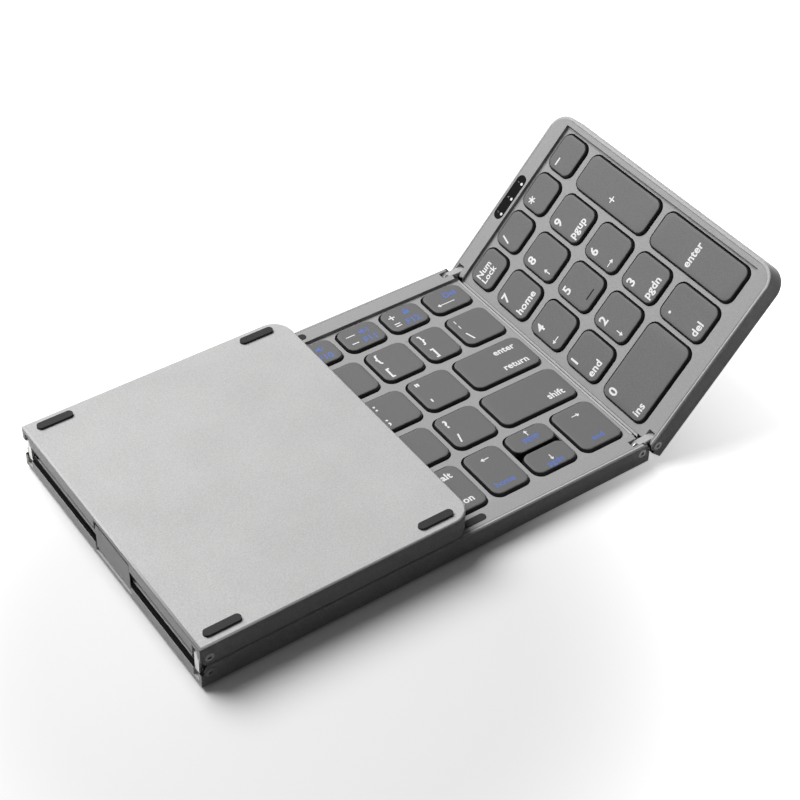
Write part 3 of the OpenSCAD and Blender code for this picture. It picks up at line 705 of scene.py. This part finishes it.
# Where a mark stands on its key: against the left, right or middle of a line x from the
# face's left edge (or, below 0, from its right edge), y up from the front edge (or, below
# 0, down from the back edge), the height of its capitals, and its ink.
STYLES = {
    "digit": ("left", 1.5, -5.9, 3.5, white_ink),
    "under": ("left", 1.6, 2.1, 2.9, white_ink),
    "arrow": ("middle", 3.1, 3.6, 1, white_ink),
    "upper": ("middle", 3.4, -5.8, 3.6, white_ink),
    "lower": ("middle", 3.4, 2.6, 3.6, white_ink),
    "letter": ("left", 2.4, -6.0, 3.6, white_ink),
    "shifted": ("middle", 3.5, -4.9, 2.7, white_ink),
    "number": ("middle", 3.5, 2.0, 2.7, white_ink),
    "with_fn": ("middle", 10.1, 1.7, 2.75, blue_ink),
    "fn_picture": ("middle", 10.1, -4.6, 1, blue_ink),
    "name": ("right", -3.8, 2.7, 2.7, white_ink),
    "name_above": ("right", -3.8, -5.3, 2.7, white_ink),
    "left_name": ("left", 2.2, 2.7, 2.7, white_ink),
    "left_name_above": ("left", 2.2, -5.3, 2.7, white_ink),
}


def number_row(signs, names, pictures):
    """The marks of number keys: the sign with shift, the number, and in blue a picture and a name."""
    return [[("shifted", sign[1]), ("number", sign[0]), ("with_fn", name)]
            + [("fn_picture", "<" + picture + ">")] * (picture != "")
            for sign, name, picture in zip(signs, names, pictures)]


LEGENDS = {
    "pad_7": [("digit", "7"), ("under", "home")],
    "pad_8": [("digit", "8"), ("arrow", "<up>")],
    "pad_9": [("digit", "9"), ("under", "pgup")],
    "pad_4": [("digit", "4"), ("arrow", "<left>")],
    "pad_5": [("digit", "5")],
    "pad_6": [("digit", "6"), ("arrow", "<right>")],
    "pad_1": [("digit", "1"), ("under", "end")],
    "pad_2": [("digit", "2"), ("arrow", "<down>")],
    "pad_3": [("digit", "3"), ("under", "pgdn")],
    "pad_0": [("digit", "0"), ("under", "ins")],
    "pad_point": [(("middle", 2.9, -4.0, 1, white_ink), "<point>"), ("under", "del")],
    "pad_enter": [(("middle", 6.4, -20.0, 2.9, white_ink), "enter")],
    "pad_plus": [(("middle", 4.2, -19.3, 1, white_ink), "<plus>")],
    "pad_minus": [(("left", 1.6, 7.6, 1, white_ink), "<minus>")],
    "pad_multiply": [(("left", 1.6, 7.6, 1, white_ink), "<star>")],
    "pad_divide": [(("left", 1.6, 5.4, 3.6, white_ink), "/")],
    "pad_num_lock": [
        (("left", 1.7, 6.3, 2.5, white_ink), "Num"), (("left", 1.7, 3.2, 2.5, white_ink), "Lock")],
    "key_hyphen": [
        (("middle", 4.3, 7.2, 1, white_ink), "<low_dash>"), (("middle", 3.9, 3.0, 1, white_ink), "<dash>"),
        ("fn_picture", "<loud>"), ("with_fn", "F11")],
    "key_equals": [
        (("middle", 3.6, 6.4, 1, white_ink), "<plus>"), (("middle", 3.6, 2.5, 1, white_ink), "<equals>"),
        ("fn_picture", "<lock>"), ("with_fn", "F12")],
    "key_backspace": [
        (("middle", 10.5, 6.4, 2.6, blue_ink), "Del"), (("middle", 6.3, 3.7, 1, white_ink), "<long_left>")],
    "key_bracket_left": [("upper", "{"), ("lower", "[")],
    "key_bracket_right": [("upper", "}"), ("lower", "]")],
    "key_backslash": [(("middle", 2.9, -6.9, 1, white_ink), "<split_bar>"), ("lower", "\\")],
    "key_quote": [("upper", "\""), (("middle", 3.4, 1.3, 3.6, white_ink), "'")],
    "key_enter": [("name_above", "enter"), ("name", "return")],
    "key_slash": [("upper", "?"), ("lower", "/")],
    "key_shift": [("name", "shift")],
    "key_left": [
        (("middle", 6.85, 15.85, 1, white_ink), "<left>"), (("middle", 6.3, 2.7, 2.3, blue_ink), "home")],
    "key_right": [
        (("middle", 8.3, 15.85, 1, white_ink), "<right>"), (("middle", 8.4, 2.7, 2.3, blue_ink), "end")],
    "key_up": [
        (("middle", 8.9, 6.9, 1, white_ink), "<short_up>"), (("middle", 8.9, 3.4, 2.3, blue_ink), "pgup")],
    "key_down": [
        (("middle", 8.9, 4.4, 1, white_ink), "<short_down>"), (("middle", 8.9, 1.0, 2.3, blue_ink), "pgdn")],
    "covered_keys": (
        number_row(["5%", "6^", "7&", "8*", "9(", "0)"], ["F5", "F6", "F7", "F8", "F9", "F10"],
                   ["sun", "play", "play", "", "quiet", "quiet"])
        + [[("letter", letter)] for letter in "TYUIOP"]
        + [[("letter", letter)] for letter in "GHJKL"] + [[("upper", ":"), ("lower", ";")]]
        + [[("letter", letter)] for letter in "VBNM"]
        + [[("upper", "<"), ("lower", ",")], [("upper", ">"), ("lower", ".")]]
        + [[], [("name", "cmd")], [("name_above", "alt"), ("name", "option")]]),
    "left_keys": (
        [[("left_name", "esc")]]
        + number_row(["1!", "2@", "3#", "4$"], ["F1", "F2", "F3", "F4"], ["", "", "sun", "sun"])
        + [[("left_name", "tab")]] + [[("letter", letter)] for letter in "QWER"]
        + [[("left_name", "caps")]] + [[("letter", letter)] for letter in "ASDF"]
        + [[("left_name", "shift")]] + [[("letter", letter)] for letter in "ZXC"]
        + [[("left_name", "fn")], [("left_name", "ctrl")], [("left_name", "alt")], []]),
}


def mark_shape(style, text, width, depth):
    """A mark's points, triangles and ink on a face of a width and depth, from its front left corner."""
    side, x, y, height, ink = STYLES.get(style, style)
    points, triangles = PICTURES.get(text[1:-1]) or word(text, height)
    low, high = points.min(axis=0), points.max(axis=0)
    anchor = {"left": low[0], "right": high[0], "middle": (low[0] + high[0]) / 2}[side]
    x += width if x < 0 else 0
    y += depth if y < 0 else 0
    return points + (x - anchor, y), triangles, ink


def printed(name, panel, body, shapes, inks):
    """One piece from flat shapes in two inks: each is its points, its triangles and its ink."""
    points, triangles = together(*[shape[:2] for shape in shapes])
    mesh = bpy.data.meshes.new(name)
    mesh.from_pydata(panel.place(points).tolist(), [], triangles.tolist())
    numbers = np.repeat([inks.index(ink) for _, _, ink in shapes], [len(shape[1]) for shape in shapes])
    mesh.polygons.foreach_set("material_index", numbers)
    shown(name, mesh, body, None, finishes=inks)


def print_legends(node, panel, boxes, legends):
    """One piece with all the marks of a node's keys, laid just above their dished faces."""
    shapes = []
    for (x0, y0, x1, y1, top), marks in zip(boxes, legends):
        for style, text in marks:
            flat, triangles, ink = mark_shape(style, text, x1 - x0, y1 - y0)
            off_middle = np.abs(2 * flat / (x1 - x0, y1 - y0) - 1).max(axis=1)
            height = top - CAP_DISH * (1 - off_middle ** 2) + INK_RISE
            shapes.append((np.column_stack([flat + (x0, y0), height]), triangles, ink))
    printed("legend_" + node, panel, node, shapes, [white_ink, blue_ink])


for node, panel in key_panels.items():
    marks = LEGENDS[node]
    grouped = node in ("covered_keys", "left_keys")
    print_legends(node, panel, key_boxes[node], marks if grouped else [marks])


# A low ridge is moulded on the faces of the 5, F and J keys, near the front edge, so that
# the fingers find these keys without looking.
RIDGE_LENGTH = 4.8
RIDGE_WIDTH = 0.5
RIDGE_HEIGHT = 0.2
RIDGE_FOOT = 0.05
RIDGE_FLAT = 0.001
RIDGE_Y = 2.85
RIDGE_TURNS = (1.4, 1.0, 0.5, 0)
RIDGE_KEYS = {"pad_5": 0, "left_keys": 14, "covered_keys": 14}


def ridge():
    """Points and faces of a ridge: rounded rings that grow from its top down a quarter ellipse."""
    steps = [(RIDGE_WIDTH / 2 * (1 - math.cos(a)), RIDGE_HEIGHT * math.sin(a)) for a in RIDGE_TURNS]
    rings = []
    for inset, z in steps + [(0, -RIDGE_FOOT)]:
        half_width = RIDGE_WIDTH / 2 - inset
        ring = rounded_ring(RIDGE_LENGTH / 2 - inset, half_width, half_width - RIDGE_FLAT)
        rings.append(np.column_stack([ring, np.full(len(ring), z)]))
    around = np.arange(len(rings[0]))
    last = around + (len(rings) - 1) * len(around)
    faces = ring_quads(len(rings), len(around)).tolist()
    return np.vstack(rings), faces + [around.tolist(), last[::-1].tolist()]


# The ridges take the same near-black finish as the painted shade of the key skirts.
for node, number in RIDGE_KEYS.items():
    x0, y0, x1, y1, top = key_boxes[node][number]
    points, faces = ridge()
    points += ((x0 + x1) / 2, y0 + RIDGE_Y, top - CAP_DISH)
    mesh = solids(key_panels[node].place(points), faces)
    shown("ridge_" + node, mesh, node, "keys", finishes=[cap_painted_shade])


# Three small lights under the dark window of the number pad, with a plain mark above each:
# a bolt for charging, an A and a 1.
LIGHTS_X = (30.8, 37.5, 44.2)
LIGHTS_Y = 111.1
MARK_Y = 112.5
MARK_HEIGHT = 0.8

dim_ink = Finish("dim_ink", Roughness=0.5)
dim_ink.set("Base Color", dim_ink.noise(0.5).tint(grey(120), grey(140)))

bolt = together(convex((0.25, 0.35), (0.75, 0.4), (0.1, -0.1)),
                convex((0.0, 0.45), (0.5, 0.5), (0.65, 0.95)))
window_top = flat_corners("indicator_window", pad)[:, 2].max() + INK_RISE
shapes = []
for x, mark in zip(LIGHTS_X, (bolt, word("A", MARK_HEIGHT), word("1", MARK_HEIGHT))):
    mark_middle = (mark[0].min(axis=0) + mark[0].max(axis=0)) / 2
    for ink, shape in ((white_ink, moved(disc(DOT_R), x, LIGHTS_Y)),
                       (dim_ink, moved(mark, x - mark_middle[0], MARK_Y))):
        height = np.full(len(shape[0]), window_top)
        shapes.append((np.column_stack([shape[0], height]), shape[1], ink))
printed("window_lights", pad, pad, shapes, [white_ink, dim_ink])


# The hinge links are bright steel plates on turned pins, and the pins' heads are rings
# that lie flush in the side faces.
LINK_EDGE_MM = 0.12

steel = Finish("polished_steel", Metallic=0.6, Roughness=0.35)
streaks = steel.noise(0.25, detail=2.0, stretch=(1, 1, 8))
steel.set("Base Color", streaks.tint(grey(232, 1), grey(246, 1)))
steel.set("Roughness", (streaks - 0.5) * 0.15 + 0.35)
turned = Finish("turned_steel", Metallic=0.8, Roughness=0.35)
turned.set("Base Color", turned.noise(0.2).tint(grey(110), grey(135)))

for node in ("left_links", "right_links"):
    softened(node + "_plates", node, node, "steel", [steel], LINK_EDGE_MM, 2)


# Rubber feet lie in shallow pockets of each underside, and two rubber bumpers in the middle
# panel's rim strips keep the folded panels apart.
RUBBER_EDGE_MM = 0.2

rubber = Finish("black_rubber", Roughness=0.75)
specks = rubber.noise(0.3)
rubber.set("Base Color", specks.tint(grey(38), grey(52)))
rubber.bump(specks, 0.02, 0.6)

for panel, node in ((left, "left_feet"), (middle, "middle_feet"), (pad, "pad_feet"),
                    (middle, "rim_bumpers")):
    softened(node + "_rubber", node, panel, "rubber", [rubber], RUBBER_EDGE_MM, 2)


# What lies inside or flush keeps its CAD shape: the key boards, the battery, the screws and
# pins, the flat cables, the charging socket and the indicator window.
board = Finish("solder_mask", Roughness=0.35)
board.set("Base Color", board.noise(3.0).tint((0.01, 0.07, 0.03, 1), (0.02, 0.11, 0.05, 1)))
foil = Finish("cell_foil", Metallic=0.9, Roughness=0.4)
foil.set("Base Color", foil.noise(6.0).tint(grey(170), grey(190)))
film = Finish("cable_jacket", Roughness=0.45)
film.set("Base Color", film.noise(2.0).tint(grey(150), grey(165)))
gloss = Finish("window_gloss", Roughness=0.08)
gloss.set("Base Color", gloss.noise(4.0).tint(grey(8), grey(14)))

for node, finish in {
    "left_board": board, "middle_board": board, "pad_board": board,
    "battery": foil,
    "left_cable": film, "right_cable": film,
    "left_screws": turned, "middle_screws": turned, "pad_screws": turned,
    "left_pins": turned, "middle_pins": turned, "pad_pins": turned,
    "charging_socket": steel,
    "indicator_window": gloss,
}.items():
    data = frame["nodes"][node].data
    data.materials.clear()
    data.materials.append(finish.material)
